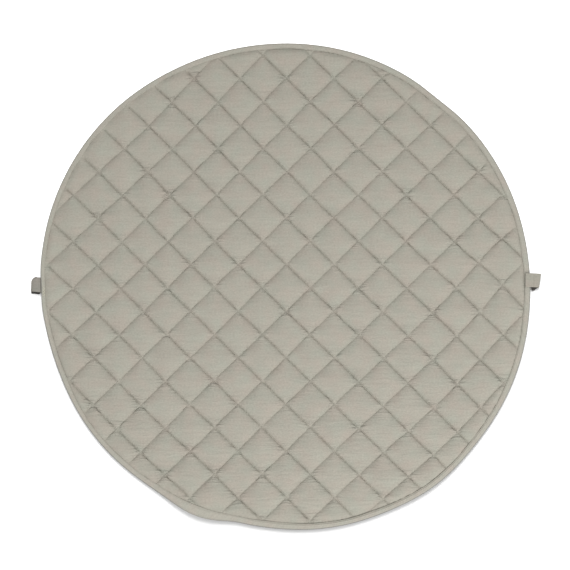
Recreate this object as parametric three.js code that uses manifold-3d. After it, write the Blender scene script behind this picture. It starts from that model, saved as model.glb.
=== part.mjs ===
// Round quilted baby play mat with a bound edge and two tape loops.
// Millimetres, +Z up. The origin is on the floor under the middle of the mat, +X points to the
// loop at 3 o'clock and +Y to 12 o'clock. The mat lies on its back, face up.

import * as THREE from "three";
import { mergeVertices } from "three/addons/utils/BufferGeometryUtils.js";
import Module from "manifold-3d";

// Whole mat
const MAT_RADIUS = 498.6;
const RIM_SEGMENTS = 90;
const CLEARANCE = 0.4;

// Quilting: square-like diamonds that stand on a corner. The middle one lies a little below the
// middle of the mat.
const DIAMOND_HALF_WIDTH = 49;
const DIAMOND_HALF_HEIGHT = 47.5;
const QUILTING_MOVE_Y = -2.8;
const DIAMOND_STEPS = 4;
const DIAMONDS_EACH_WAY = 8;
const CROWN_HEIGHT = 12;
const SEWN_HEIGHT = 5;
const PUFF_FULLNESS = 2.2;

// Panel rim, pressed thin so that the binding can go round it
const RIM_UNDERSIDE = 1.6;
const RIM_THICKNESS = 4.4;
const RIM_PRESSED_WIDTH = 14;
const RIM_RISE_WIDTH = 50;
const RIM_PUFF_SHARE = 0.35;
const PRESSED_WALL_WIDTH = 8;

// Binding
const BINDING_WIDTH = 12;
const BINDING_THICKNESS = 1.2;
const BINDING_ROUNDING = 2.6;
const BINDING_TOP = RIM_UNDERSIDE + RIM_THICKNESS + CLEARANCE + BINDING_THICKNESS;

// Loops of flat tape. Each goes out past the rim and back, and opens to a gap between its leaves.
const TAPE_WIDTH = 30;
const TAPE_THICKNESS = 1.1;
const TAPE_SPACING = TAPE_THICKNESS + CLEARANCE;
const ON_FLOOR = TAPE_THICKNESS / 2;
const LOOP_REACH = 20;
const TAPE_LENGTH_STEPS = 16;
const TAPE_WIDTH_STEPS = 3;

// The middle of the tape, seen along its width, from the end of its upper leaf round to the end
// of its lower leaf. out is measured from the mat's outline, and up from the floor.
const ON_BINDING = BINDING_TOP + CLEARANCE + TAPE_THICKNESS / 2;
const RIGHT_LOOP = {
  side: 1,
  y: 10.8,
  line: [
    { out: -BINDING_WIDTH, up: ON_BINDING + TAPE_SPACING },
    { out: 0, up: ON_BINDING + TAPE_SPACING },
    { out: 10, up: 9.4 },
    { out: 16.4, up: 8.4 },
    { out: LOOP_REACH + 0.3, up: 5.6 },
    { out: 16.4, up: 2.6 },
    { out: 11, up: 1.9 },
    { out: 5, up: 3 },
    { out: 2.2, up: 5.2 },
    { out: 1.1, up: 7.3 },
    { out: -2, up: ON_BINDING },
    { out: -BINDING_WIDTH, up: ON_BINDING },
  ],
  leafSkew: { move: -6.5, fullAt: 3, goneAt: 8 },
  foldSlant: 5,
};
const LEFT_LOOP = {
  side: -1,
  y: 1.8,
  line: [
    { out: -BINDING_WIDTH, up: ON_FLOOR + TAPE_SPACING },
    { out: -2, up: ON_FLOOR + TAPE_SPACING },
    { out: 2.2, up: 2.9 },
    { out: 5, up: 6 },
    { out: 9.4, up: 8.1 },
    { out: 15.4, up: 7.3 },
    { out: LOOP_REACH - 1, up: 4.2 },
    { out: 16.2, up: 1.1 },
    { out: 12.6, up: ON_FLOOR },
    { out: 8, up: ON_FLOOR },
    { out: 0, up: ON_FLOOR },
    { out: -BINDING_WIDTH, up: ON_FLOOR },
  ],
  leafSkew: { move: -4.5, fullAt: 1.5, goneAt: 6.5 },
  foldSlant: -1,
};

// Unevenness of the round outline: whole lobes, and short places where the rim is pushed out or
// lifted off the floor. Angles run from 3 o'clock towards 12 o'clock.
const OUTLINE_LOBES = [
  { lobes: 1, out: 0.4, peakDeg: 55 },
  { lobes: 2, out: 4.6, peakDeg: 149 },
  { lobes: 3, out: 1.5, peakDeg: 56 },
  { lobes: 4, out: 0.8, peakDeg: 42 },
  { lobes: 5, out: 1, peakDeg: 4 },
  { lobes: 6, out: 0.9, peakDeg: 41 },
  { lobes: 7, out: 0.8, peakDeg: 24 },
];
const RIM_BUMPS = [
  { atDeg: 51, reachDeg: 6, out: -3.2, up: 0 },
  { atDeg: 140, reachDeg: 12, out: 0, up: 1.5 },
  { atDeg: 248.5, reachDeg: 8, out: 12, up: 5 },
  { atDeg: 306, reachDeg: 11, out: 5.7, up: 2.5 },
];
const RIM_LIFT_WIDTH = 110;
const RIM_LIFT_RINGS = [1.1, 0.7, 0.4];

// The rim also rises over the left loop, by both layers of its tape and the gaps between
const OVER_LOOP = { atDeg: 180, halfDeg: 4.2, fadeDeg: 6, up: 2 * TAPE_SPACING };

// Places where the quilting is pulled off its even layout
const QUILT_PULLS = [
  { x: -300, y: 330, moveX: 14, moveY: -2, reach: 190 },
  { x: -390, y: 40, moveX: 6, moveY: -2, reach: 130 },
  { x: 330, y: -300, moveX: 6, moveY: -10, reach: 150 },
  { x: 320, y: -80, moveX: 5, moveY: -2, reach: 110 },
  { x: 450, y: 40, moveX: -1, moveY: 10, reach: 60 },
  { x: -330, y: -290, moveX: -3, moveY: -4, reach: 110 },
];

const CLOTH_COLOUR = 0xaca79b;
const TAPE_COLOUR = 0xa19c90;

function clothFinish() {
  return new THREE.MeshStandardMaterial({ color: CLOTH_COLOUR, roughness: 0.95, metalness: 0 });
}

function tapeFinish() {
  return new THREE.MeshStandardMaterial({ color: TAPE_COLOUR, roughness: 0.9, metalness: 0 });
}

const smooth = (t) => {
  const held = Math.min(Math.max(t, 0), 1);
  return held * held * (3 - 2 * held);
};

// Angle from one direction to another, in degrees, from -180 to 180
const turnBetween = (fromDeg, toDeg) => ((((toDeg - fromDeg) % 360) + 540) % 360) - 180;

const degreesOf = (x, y) => THREE.MathUtils.radToDeg(Math.atan2(y, x));

const bumpShare = (bump, deg) => Math.exp(-((turnBetween(bump.atDeg, deg) / bump.reachDeg) ** 2));

// Distance from the middle to the outline in a direction
function outlineRadius(deg) {
  const lobes = OUTLINE_LOBES.map(
    ({ lobes, out, peakDeg }) => out * Math.cos(THREE.MathUtils.degToRad(lobes * (deg - peakDeg)))
  );
  const bumps = RIM_BUMPS.map((bump) => bump.out * bumpShare(bump, deg));
  return [...lobes, ...bumps].reduce((sum, part) => sum + part, MAT_RADIUS);
}

// Height of the mat's underside off the floor
function liftAt(x, y) {
  const deg = degreesOf(x, y);
  const pastLoop = Math.abs(turnBetween(OVER_LOOP.atDeg, deg)) - OVER_LOOP.halfDeg;
  const overLoop = OVER_LOOP.up * smooth(1 - pastLoop / OVER_LOOP.fadeDeg);
  const bumps = RIM_BUMPS.map((bump) => bump.up * bumpShare(bump, deg));
  const atRim = bumps.reduce((sum, part) => sum + part, overLoop);
  const inside = outlineRadius(deg) - BINDING_WIDTH - Math.hypot(x, y);
  return atRim * smooth(1 - inside / RIM_LIFT_WIDTH);
}

// Moves every vertex of a geometry to the place that a function works out from its first place
function reshape(geometry, placeOf) {
  const position = geometry.attributes.position;
  const first = new THREE.Vector3();
  for (let i = 0; i < position.count; i++) {
    first.fromBufferAttribute(position, i);
    const { x, y, z } = placeOf(first);
    position.setXYZ(i, x, y, z);
  }
}

function closedGeometry(geometry) {
  geometry.deleteAttribute("normal");
  geometry.deleteAttribute("uv");
  const merged = mergeVertices(geometry, 1e-4);
  merged.computeVertexNormals();
  return merged;
}

// A round body from a profile of [radius, height] points, brought to the uneven outline and lift
function roundBody(profile) {
  const points = profile.map(([radius, height]) => new THREE.Vector2(radius, height));
  const geometry = new THREE.LatheGeometry(points, RIM_SEGMENTS);
  geometry.rotateX(Math.PI / 2);
  reshape(geometry, ({ x, y, z }) => {
    const share = outlineRadius(degreesOf(x, y)) / MAT_RADIUS;
    return { x: x * share, y: y * share, z: z + liftAt(x * share, y * share) };
  });
  return closedGeometry(geometry);
}

// Fullness across a row of quilting: 0 at a sewn line, 1 midway between two
const fullness = (t) => 1 - (2 * Math.abs(t - Math.round(t))) ** PUFF_FULLNESS;

function pulled(x, y) {
  const at = new THREE.Vector2(x, y + QUILTING_MOVE_Y);
  for (const pull of QUILT_PULLS) {
    const share = Math.exp(-(((x - pull.x) ** 2 + (y - pull.y) ** 2) / pull.reach ** 2));
    at.x += pull.moveX * share;
    at.y += pull.moveY * share;
  }
  return at;
}

// Height of the face above the underside. The puffs grow from the rim inwards, and next to the
// outline the slab is left thicker than the rim, which is then pressed to its own shape.
function quiltHeight(a, b, at) {
  const inside = outlineRadius(degreesOf(at.x, at.y)) - at.length();
  const risen = smooth((inside - RIM_PRESSED_WIDTH) / RIM_RISE_WIDTH);
  const puffShare = RIM_PUFF_SHARE + (1 - RIM_PUFF_SHARE) * risen;
  const puff = (CROWN_HEIGHT - SEWN_HEIGHT) * fullness(a) * fullness(b) * puffShare;
  const aboveRim = RIM_UNDERSIDE + RIM_THICKNESS + 2 * CLEARANCE;
  return inside < 2 * RIM_PRESSED_WIDTH ? Math.max(SEWN_HEIGHT + puff, aboveRim) : SEWN_HEIGHT + puff;
}

// A square slab of quilting, wider than the mat, with its sewn lines along its own sides
function quiltedSlab() {
  const steps = 2 * DIAMONDS_EACH_WAY * DIAMOND_STEPS;
  const slab = new THREE.BoxGeometry(2 * DIAMONDS_EACH_WAY, 2 * DIAMONDS_EACH_WAY, 2, steps, steps, 1);
  reshape(slab, ({ x: a, y: b, z: side }) => {
    const at = pulled((a - b) * DIAMOND_HALF_WIDTH, (a + b) * DIAMOND_HALF_HEIGHT);
    const height = side > 0 ? quiltHeight(a, b, at) : -CROWN_HEIGHT;
    return { x: at.x, y: at.y, z: height + liftAt(at.x, at.y) };
  });
  return closedGeometry(slab);
}

// The space that the panel fills: flat below, stepped up over the binding's lower leaf, pressed
// thin at the rim and open above the quilting
function panelSpace() {
  const rim = MAT_RADIUS - BINDING_THICKNESS - 2 * CLEARANCE;
  const pressed = MAT_RADIUS - RIM_PRESSED_WIDTH;
  const rimTop = RIM_UNDERSIDE + RIM_THICKNESS;
  const open = CROWN_HEIGHT + 4;
  return roundBody([
    [0, 0],
    ...RIM_LIFT_RINGS.map((share) => [MAT_RADIUS - share * RIM_LIFT_WIDTH, 0]),
    [pressed, 0],
    [MAT_RADIUS - BINDING_WIDTH - CLEARANCE, RIM_UNDERSIDE],
    [rim, RIM_UNDERSIDE],
    [rim, rimTop],
    [pressed, rimTop],
    [pressed - PRESSED_WALL_WIDTH, open],
    [0, open],
  ]);
}

const wasm = await Module();
wasm.setup();

function toSolid(geometry) {
  const mesh = new wasm.Mesh({
    numProp: 3,
    vertProperties: new Float32Array(geometry.attributes.position.array),
    triVerts: new Uint32Array(geometry.index.array),
  });
  return new wasm.Manifold(mesh);
}

function toGeometry(solid) {
  const { vertProperties, triVerts } = solid.getMesh();
  const geometry = new THREE.BufferGeometry();
  geometry.setAttribute("position", new THREE.BufferAttribute(vertProperties, 3));
  geometry.setIndex(new THREE.BufferAttribute(triVerts, 1));
  geometry.computeVertexNormals();
  return geometry;
}

const panelGeometry = () => toGeometry(toSolid(quiltedSlab()).intersect(toSolid(panelSpace())));

// The binding's section is a C that opens inwards, with its outer corners cut back
function bindingGeometry() {
  const innerEdge = MAT_RADIUS - BINDING_WIDTH;
  const insideRim = MAT_RADIUS - BINDING_THICKNESS;
  const corner = MAT_RADIUS - BINDING_ROUNDING;
  const inTop = BINDING_TOP - BINDING_THICKNESS;
  return roundBody([
    [innerEdge, 0],
    [corner, 0],
    [MAT_RADIUS, BINDING_ROUNDING],
    [MAT_RADIUS, BINDING_TOP - BINDING_ROUNDING],
    [corner, BINDING_TOP],
    [innerEdge, BINDING_TOP],
    [innerEdge, inTop],
    [insideRim, inTop],
    [insideRim, BINDING_THICKNESS],
    [innerEdge, BINDING_THICKNESS],
    [innerEdge, 0],
  ]);
}

// A straight tape is bent along its line, then set against the rim. Away from its sewn ends the
// lower leaf is moved sideways, and the fold runs a little aslant.
function loopGeometry({ side, y, line, leafSkew, foldSlant }) {
  const curve = new THREE.SplineCurve(line.map(({ out, up }) => new THREE.Vector2(out, up)));
  const steps = [TAPE_LENGTH_STEPS, TAPE_WIDTH_STEPS, 1];
  const tape = new THREE.BoxGeometry(1, TAPE_WIDTH, TAPE_THICKNESS, ...steps);
  const edge = outlineRadius(side > 0 ? 0 : OVER_LOOP.atDeg);
  reshape(tape, ({ x: fromHalfway, y: across, z: fromMiddle }) => {
    const middle = curve.getPoint(fromHalfway + 0.5);
    const along = curve.getTangent(fromHalfway + 0.5);
    const out = middle.x - along.y * fromMiddle;
    const up = Math.max(middle.y, ON_FLOOR) + along.x * fromMiddle;
    const outShare = Math.max(out, 0) / LOOP_REACH;
    const lowShare = smooth((leafSkew.goneAt - up) / (leafSkew.goneAt - leafSkew.fullAt));
    const slanted = out + (foldSlant * outShare * side * across) / TAPE_WIDTH;
    const skewed = side * across + leafSkew.move * lowShare * outShare;
    return { x: side * (edge + slanted), y: y + skewed, z: up };
  });
  return closedGeometry(tape);
}

const mat = new THREE.Group();

function addPiece(name, geometry, material) {
  const mesh = new THREE.Mesh(geometry, material);
  mesh.name = name;
  mat.add(mesh);
}

addPiece("quilted_panel", panelGeometry(), clothFinish());
addPiece("edge_binding", bindingGeometry(), clothFinish());
addPiece("loop_left", loopGeometry(LEFT_LOOP), tapeFinish());
addPiece("loop_right", loopGeometry(RIGHT_LOOP), tapeFinish());

export default mat;
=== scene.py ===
# %% [markdown]
# # A round quilted play mat
# Two layers of plain cotton with wadding between them are sewn through in diamonds. A folded strip
# of the same cloth goes round the rim, and a loop of flat tape sits at each side. The mat lies on
# the floor and is seen from straight above, so its looks rest on how each diamond swells between
# its sewn lines. Those diamonds are filled by a cloth simulation of a small sampler. Everything
# else is worked out with numpy as surfaces of two parameters. Lengths are in metres, or in mm
# where a comment says so.

# %% Open the frame
import math

import bpy
import numpy as np
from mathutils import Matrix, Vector


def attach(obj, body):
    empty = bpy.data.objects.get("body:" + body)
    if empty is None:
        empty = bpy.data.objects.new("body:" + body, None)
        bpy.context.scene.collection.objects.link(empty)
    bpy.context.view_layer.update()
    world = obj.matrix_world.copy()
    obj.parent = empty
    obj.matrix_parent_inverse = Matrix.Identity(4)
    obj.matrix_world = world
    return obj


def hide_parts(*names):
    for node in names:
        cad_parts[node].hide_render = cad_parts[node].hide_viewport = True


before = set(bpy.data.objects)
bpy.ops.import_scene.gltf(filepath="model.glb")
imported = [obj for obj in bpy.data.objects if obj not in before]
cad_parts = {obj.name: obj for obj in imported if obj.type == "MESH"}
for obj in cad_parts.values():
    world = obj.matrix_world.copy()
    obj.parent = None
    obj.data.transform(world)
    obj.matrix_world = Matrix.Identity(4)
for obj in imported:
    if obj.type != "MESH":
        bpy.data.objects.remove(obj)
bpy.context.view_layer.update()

MM = 0.001


# %% [markdown]
# ## Camera
# The mat is nearly as tall in the photograph as it is wide, so it was taken from straight above.
# The camera looks almost straight down, and a tilt of a third of a degree keeps the picture's
# upright direction along +Y. A long lens from 3 m away was chosen over a flat orthographic view,
# because a real camera took the picture and the rim then shows a little of its outer side.

# %% Camera
CAMERA_TILT_DEG = 0.3
CAMERA_DISTANCE = 3.0
CAMERA_AIM = np.array([-2.0, 2.3, 8.0]) * MM
LENS_MM = 92.95
SENSOR_MM = 36.0


def aim(thing, place, aimed_at):
    """Put a camera or a light at a place and turn it so that its own -Z points where it is aimed."""
    thing.location = place
    thing.rotation_mode = "QUATERNION"
    thing.rotation_quaternion = Vector(np.subtract(aimed_at, place)).to_track_quat("-Z", "Y")
    bpy.context.scene.collection.objects.link(thing)


tilt = math.radians(CAMERA_TILT_DEG)
camera = bpy.data.objects.new("camera", bpy.data.cameras.new("camera"))
camera.data.lens = LENS_MM
camera.data.sensor_width = SENSOR_MM
aim(camera, CAMERA_AIM + CAMERA_DISTANCE * np.array([0, -math.sin(tilt), math.cos(tilt)]), CAMERA_AIM)
bpy.context.scene.camera = camera
seen_width = CAMERA_DISTANCE * SENSOR_MM / LENS_MM
print("camera is", CAMERA_DISTANCE, "m away and sees", round(seen_width, 3), "m")

# %% [markdown]
# ## Shader maths
# Node trees can be clicked together or written down. Written down as plain expressions they can be
# read like a formula, so one small class stands for a node's output. Adding or multiplying two of
# them adds the Math node that does it. Every other kind of node comes from its method "of".


# %% Shader maths
class Wire:
    """One output socket of a node tree, ready to stand in a Python expression."""

    def __init__(self, tree, socket):
        self.tree = tree
        self.socket = socket

    @staticmethod
    def of(tree, kind, settings=None, inputs=None, output=0):
        """Add a node of any type. Its settings are set first, then its sockets get values or links."""
        made = tree.nodes.new(kind)
        for name, value in (settings or {}).items():
            setattr(made, name, value)
        for key, value in (inputs or {}).items():
            if isinstance(value, Wire):
                tree.links.new(value.socket, made.inputs[key])
            else:
                made.inputs[key].default_value = value
        return Wire(tree, made.outputs[output])

    def maths(self, operation, first, second=0.0):
        """Add a Math node that works on two wires or numbers."""
        return Wire.of(self.tree, "ShaderNodeMath", {"operation": operation}, {0: first, 1: second})

    def __add__(self, other):
        return self.maths("ADD", self, other)

    def __sub__(self, other):
        return self.maths("SUBTRACT", self, other)

    def __rsub__(self, other):
        return self.maths("SUBTRACT", other, self)

    def __mul__(self, other):
        return self.maths("MULTIPLY", self, other)

    def __gt__(self, other):
        return self.maths("GREATER_THAN", self, other)

    __radd__ = __add__
    __rmul__ = __mul__

    def sin(self):
        return self.maths("SINE", self)

    def floor(self):
        return self.maths("FLOOR", self)

    def at_least(self, least):
        return self.maths("MAXIMUM", self, least)

    def at_most(self, most):
        return self.maths("MINIMUM", self, most)

    def size(self):
        return self.maths("ABSOLUTE", self)

    def parts(self):
        """The x, y and z of a place, each as a wire of its own."""
        split = Wire.of(self.tree, "ShaderNodeSeparateXYZ", None, {0: self}).socket.node
        return [Wire(self.tree, socket) for socket in split.outputs]

    def feed(self, shader, name):
        """Link this output to a named input of a shader."""
        self.tree.links.new(self.socket, shader.inputs[name])


print("shader maths ready")

# %% [markdown]
# ## Light and floor
# The photograph has a white ground with a faint shadow along the bottom edge only, and soft light
# on the cloth from the lower right. No single lamp gives both. So a white sky gives most of the
# light, and each of two soft boxes is linked to what it may light. The one at the lower right
# models the puffs and leaves the floor out. The one on the far side, an upright ellipse, lights
# only the floor and lays the shadow. The floor is a wide pale plane. It doesn't throw its light
# back on the cloth, which would wash out the rim's shaded side, so the lower half of the sky
# stands in for it.

# %% Sky
SKY_ABOVE = 0.93
SKY_BELOW = 0.30

scene = bpy.context.scene
scene.view_settings.view_transform = "Standard"

sky = bpy.data.worlds.new("studio_sky")
sky.use_nodes = True
scene.world = sky
direction = Wire.of(sky.node_tree, "ShaderNodeTexCoord", None, None, "Generated")
sky_level = SKY_BELOW + (SKY_ABOVE - SKY_BELOW) * (direction.parts()[2] > 0.0)
sky_level.feed(sky.node_tree.nodes["Background"], "Strength")
sky.node_tree.nodes["Background"].inputs["Color"].default_value = (1.0, 1.0, 1.0, 1.0)
print("the sky's strength is", SKY_ABOVE, "above the horizon and", SKY_BELOW, "below it")

# %% Floor
FLOOR_HALF_SIZE = 60.0
FLOOR_BELOW_MAT = 0.2 * MM
FLOOR_TONE = (0.86, 0.86, 0.86, 1.0)
FLOOR_ROUGHNESS = 0.9

floor_mesh = bpy.data.meshes.new("floor")
floor_corners = np.array([(-1, -1), (1, -1), (1, 1), (-1, 1)]) * FLOOR_HALF_SIZE
floor_mesh.from_pydata([(x, y, -FLOOR_BELOW_MAT) for x, y in floor_corners], [], [(0, 1, 2, 3)])
floor = bpy.data.objects.new("floor", floor_mesh)
scene.collection.objects.link(floor)
floor.visible_diffuse = False
floor_finish = bpy.data.materials.new("floor_pale")
floor_finish.use_nodes = True
floor_sockets = floor_finish.node_tree.nodes["Principled BSDF"].inputs
floor_sockets["Base Color"].default_value = FLOOR_TONE
floor_sockets["Roughness"].default_value = FLOOR_ROUGHNESS
floor_sockets["Specular IOR Level"].default_value = 0.0
floor_mesh.materials.append(floor_finish)
print("the floor is", 2 * FLOOR_HALF_SIZE, "m wide")

# %% Soft boxes
SOFT_BOXES = (
    # name, azimuth from 3 o'clock, elevation, distance, width, height, watts, lights only the floor
    ("soft_box_on_cloth", -63.0, 40.0, 3.0, 2.2, 2.2, 45.0, False),
    ("soft_box_on_floor", 90.0, 44.0, 3.0, 1.4, 2.6, 150.0, True),
)

only_floor = bpy.data.collections.new("only_floor")
all_but_floor = bpy.data.collections.new("all_but_floor")
for receivers, state in ((only_floor, "INCLUDE"), (all_but_floor, "EXCLUDE")):
    receivers.objects.link(floor)
    receivers.collection_objects[0].light_linking.link_state = state
for name, azimuth_deg, elevation_deg, distance, width, tall, watts, floor_only in SOFT_BOXES:
    azimuth, elevation = math.radians(azimuth_deg), math.radians(elevation_deg)
    lamp = bpy.data.objects.new(name, bpy.data.lights.new(name, "AREA"))
    lamp.data.shape = "ELLIPSE"
    lamp.data.size = width
    lamp.data.size_y = tall
    lamp.data.energy = watts
    level = distance * math.cos(elevation)
    heading = (level * math.cos(azimuth), level * math.sin(azimuth), distance * math.sin(elevation))
    aim(lamp, np.array(heading), np.zeros(3))
    lamp.light_linking.receiver_collection = only_floor if floor_only else all_but_floor
print("soft boxes", [row[0] for row in SOFT_BOXES])

# %% [markdown]
# ## The uneven outline
# A sewn round mat is never quite round. It could be traced as a list of points, but a circle with
# a few long lobes and some short places where the rim is pushed in, out or up can be changed one
# feature at a time. The lobes and the first four bumps are the CAD model's own numbers. The smaller
# changes were added here where the photograph shows them: more bumps, a rim that is drawn in and
# lifted further over the left loop, and how the binding's width and the ditch beside it vary.
# Every piece follows the same line.

# %% Outline
MAT_RADIUS = 498.6 * MM
OUTLINE_LOBES = (  # lobes, mm out, peak in degrees from 3 o'clock
    (1, 0.4, 55.0),
    (2, 4.6, 149.0),
    (3, 1.5, 56.0),
    (4, 0.8, 42.0),
    (5, 1.0, 4.0),
    (6, 0.9, 41.0),
    (7, 0.8, 24.0),
)
RIM_BUMPS = (  # at degrees, reach in degrees, mm out, mm up
    (51, 6, -3.2, 0.0),
    (140, 12, 0.0, 1.5),
    (248.5, 8, 12.0, 5.0),
    (306, 11, 5.7, 2.5),
    # only here, not in the CAD model
    (272, 34, 0.0, 3.0),
    (257.5, 3.2, -2.2, 0.0),
    (298, 10, -1.2, 0.0),
    (198, 11, -1.2, 0.0),
    (120, 10, -0.8, 0.0),
)
OVER_LOOP = {  # where the rim lies on the left loop: the angles are in degrees
    "at": 180.0, "half": 4.2, "fade": 6.0, "up": 4.2 * MM, "drawn_in": 1.7 * MM, "reach": 3.0,
}


def smooth(t):
    """3t² - 2t³, with t held between 0 and 1."""
    t = np.clip(t, 0.0, 1.0)
    return t * t * (3 - 2 * t)


def turn_between(from_deg, to_deg):
    """Angle from one direction to another, from -180 to 180 degrees."""
    return (to_deg - from_deg + 540.0) % 360.0 - 180.0


def bump_share(at, reach, deg):
    """exp(-(turn / reach)²): 1 at a place on the rim, fading to nothing on both sides of it."""
    return np.exp(-((turn_between(at, deg) / reach) ** 2))


def outline_radius(deg):
    """Radius plus, for each lobe count, out·cos(lobes·(angle - peak)), plus the short bumps, and
    drawn in a little where the left loop is sewn under."""
    radius = np.full_like(deg, MAT_RADIUS, dtype=float)
    radius -= OVER_LOOP["drawn_in"] * bump_share(OVER_LOOP["at"], OVER_LOOP["reach"], deg)
    for lobes, out, peak in OUTLINE_LOBES:
        radius += out * MM * np.cos(np.radians(lobes * (deg - peak)))
    for at, reach, out, _ in RIM_BUMPS:
        radius += out * MM * bump_share(at, reach, deg)
    return radius


around = np.arange(0.0, 360.0, 1.0)
radius_around = outline_radius(around) / MM
print("outline radius from", radius_around.min().round(1), "to", radius_around.max().round(1), "mm")

# %% Binding width, ditch and lift
BINDING_WIDTH = 12 * MM
BINDING_WIDTH_CHANGES = (  # at degrees, reach in degrees, mm more
    (248.5, 7.5, 9.0), (138, 36, -1.6), (268, 9, 2.0), (213, 10, -2.2), (182, 18, -2.6),
)
DITCH_CHANGES = (  # at degrees, reach in degrees, share of the usual depth more
    (136, 32, -1.0), (179, 8, -0.8), (230, 24, -0.8), (258, 5, -0.5), (285, 15, 0.7),
    (90, 9, 0.4), (12, 18, -0.35), (338, 14, -0.5),
)
RIM_LIFT_WIDTH = 110 * MM


def binding_width(deg):
    """The binding's width from above: the usual one plus more·exp(-(turn / reach)²) for each change,
    of which the largest is where it rolls open at the wave."""
    changes = sum(more * MM * bump_share(at, reach, deg) for at, reach, more in BINDING_WIDTH_CHANGES)
    return BINDING_WIDTH + changes


def ditch_share(deg):
    """How deep the ditch beside the binding is, as a share of its usual depth."""
    return 1 + sum(change * bump_share(at, reach, deg) for at, reach, change in DITCH_CHANGES)


def degrees_of(x, y):
    """Direction of a place from the mat's middle, in degrees from 3 o'clock."""
    return np.degrees(np.arctan2(y, x))


def inside_of(x, y):
    """How far a place is inside the outline."""
    return outline_radius(degrees_of(x, y)) - np.hypot(x, y)


def lift_at(x, y):
    """Height of the mat off the floor: the rim's bumps and its rise over the left loop, fading out
    over a band inside the rim."""
    deg = degrees_of(x, y)
    past_loop = np.abs(turn_between(OVER_LOOP["at"], deg)) - OVER_LOOP["half"]
    at_rim = OVER_LOOP["up"] * smooth(1 - past_loop / OVER_LOOP["fade"])
    for at, reach, _, up in RIM_BUMPS:
        at_rim = at_rim + up * MM * bump_share(at, reach, deg)
    return at_rim * smooth(1 - (inside_of(x, y) - BINDING_WIDTH) / RIM_LIFT_WIDTH)


width_around = binding_width(around) / MM
print("binding from", width_around.min().round(1), "to", width_around.max().round(1), "mm wide")

# %% [markdown]
# ## Meshes from arrays
# Each piece starts as one or more grids of points. A mesh could be made with bmesh, one face at a
# time, but a grid's faces follow from its numbering, so whole arrays are put in at once.


# %% Meshes from arrays
def make_piece(name, points, face_arrays, uv_arrays, quilting_arrays=None):
    """A smooth mesh from points, arrays of faces (one for each number of corners), and the "cloth"
    place of every face corner, which the weave follows. Quilted cloth also has its place between
    the seams. Points that no face uses are left out."""
    corners = np.concatenate([faces.ravel() for faces in face_arrays]).astype(np.int32)
    sizes = np.concatenate([np.full(len(faces), faces.shape[1]) for faces in face_arrays])
    used, corners = np.unique(corners, return_inverse=True)
    mesh = bpy.data.meshes.new(name)
    mesh.vertices.add(len(used))
    mesh.vertices.foreach_set("co", points[used].astype(np.float32).ravel())
    mesh.loops.add(len(corners))
    mesh.loops.foreach_set("vertex_index", corners.astype(np.int32))
    mesh.polygons.add(len(sizes))
    mesh.polygons.foreach_set("loop_start", (np.cumsum(sizes) - sizes).astype(np.int32))
    mesh.polygons.foreach_set("use_smooth", np.ones(len(sizes), dtype=bool))
    mesh.update(calc_edges=True)
    for layer, arrays in (("cloth", uv_arrays), ("quilting", quilting_arrays)):
        if arrays is not None:
            uv = np.concatenate([array.reshape(-1, 2) for array in arrays]).astype(np.float32)
            mesh.uv_layers.new(name=layer).uv.foreach_set("vector", uv.ravel())
    piece = bpy.data.objects.new(name, mesh)
    scene.collection.objects.link(piece)
    triangles = int((sizes - 2).sum())
    print(name, "has", len(used), "points and", triangles, "triangles")
    return piece


def set_share(piece, name, shares):
    """Give every point of a piece a number, which its material can read as an attribute."""
    values = shares.astype(np.float32).ravel()
    piece.data.attributes.new(name, "FLOAT", "POINT").data.foreach_set("value", values)


def closed_grid(rows, columns, close_rows):
    """Quads of a grid whose columns run in a ring, and whose rows do too where close_rows says so.
    Gives each corner's point number, row and column, the last two without wrapping round."""
    row, column = np.meshgrid(np.arange(rows - (not close_rows)), np.arange(columns), indexing="ij")
    rows_of = np.stack([row, row + 1, row + 1, row], -1).reshape(-1, 4)
    columns_of = np.stack([column, column, column + 1, column + 1], -1).reshape(-1, 4)
    return (rows_of % rows) * columns + columns_of % columns, rows_of, columns_of


def plane_waves(x, y, rng, count, shortest, longest):
    """Sum of sines over the plane, each with a random direction, wavelength and start, divided by
    the root of their number."""
    total = np.zeros_like(x)
    for _ in range(count):
        heading = rng.uniform(0, np.pi)
        wavelength = rng.uniform(shortest, longest)
        start = rng.uniform(0, 2 * np.pi)
        total += np.sin(2 * np.pi * (x * np.cos(heading) + y * np.sin(heading)) / wavelength + start)
    return total / np.sqrt(count)


print("mesh helpers ready")

# %% [markdown]
# ## How a diamond swells
# Between its sewn lines the face cloth has a little slack, and the wadding pushes it up into a
# puff with small puckers where the slack gathers at the stitches. A formula gives a smooth pillow
# but not the puckers. So a sampler of a few diamonds is simulated: the cloth starts cut a few per
# cent too large, its sewn lines are drawn in to their true size, and an even pressure fills it.
# Blender's cloth behaves best at the size of clothes, so the sampler is simulated 20 times larger.
# Only the places of its points are kept, as shifts from the flat sewn cloth.

# %% Quilting layout
HALF_WIDTH = 49 * MM  # of a diamond, from its middle to its left or right corner
HALF_HEIGHT = 47.5 * MM
LINE_SPACING = math.hypot(HALF_WIDTH, HALF_HEIGHT)
FACE_STEPS = 20
SEAM_CROWDING = 0.72


def lines_across(diamonds, steps):
    """Grid lines over a row of diamonds, with the sewn lines at whole numbers. Between them the lines
    crowd towards the seams: half·(crowding·sin(u·90°) + (1 - crowding)·u), with u from -1 to 1."""
    u = np.linspace(-1, 1, steps + 1)[:-1]
    within = 0.5 + 0.5 * (SEAM_CROWDING * np.sin(u * np.pi / 2) + (1 - SEAM_CROWDING) * u)
    return np.append((np.arange(diamonds)[:, None] + within).ravel(), diamonds)


print("finest step", round(np.diff(lines_across(1, FACE_STEPS)).min() * LINE_SPACING / MM, 2), "mm")


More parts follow.
